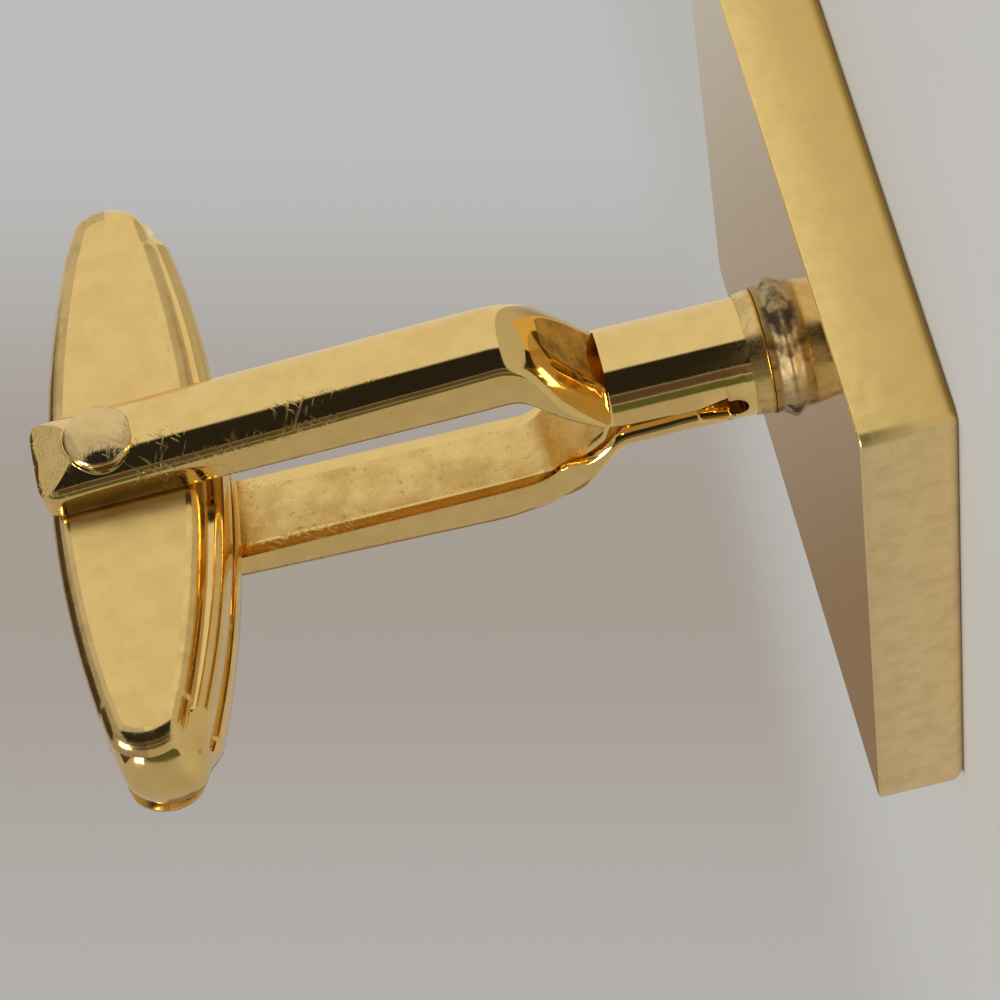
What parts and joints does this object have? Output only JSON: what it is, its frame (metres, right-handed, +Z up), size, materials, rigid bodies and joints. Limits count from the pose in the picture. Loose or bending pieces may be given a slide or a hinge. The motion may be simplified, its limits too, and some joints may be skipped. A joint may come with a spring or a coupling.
{
  "type": "swivel-bar cufflink",
  "caption": "Gold-plated swivel-bar cufflink: square plate, folded half-round stirrup and a layered bullet bar that turns on a riveted pin.",
  "frame": {"origin": "centre of the plate's front face, on which the part stands face down", "axes": "+Z up the stem from the plate to the bar, +X along the bar, +Y along the bar's pin, with the near arm at -Y"},
  "size_m": [0.016, 0.016, 0.0194],
  "materials": {
    "gold_plate": "polished gold plate on brass",
    "satin_gold": "satin gold plate on brass",
    "solder": "rough, patchy solder under plate",
    "spring_steel": "rolled spring strip"
  },
  "bodies": {
    "frame": {"face_plate": "gold_plate", "solder_fillet": "solder", "stem_collar": "gold_plate", "stirrup": "gold_plate", "pivot_pin": "gold_plate"},
    "swivel_bar": {"toggle_core": "gold_plate", "near_cheek": "satin_gold", "far_cheek": "satin_gold", "leaf_spring": "spring_steel"}
  },
  "joints": [
    {"name": "bar_swivel", "type": "hinge", "parent": "frame", "child": "swivel_bar", "pos_m": [0, 0, 0.0177], "axis": [0, 1, 0], "continuous": true, "deforming": ["leaf_spring"]}
  ]
}
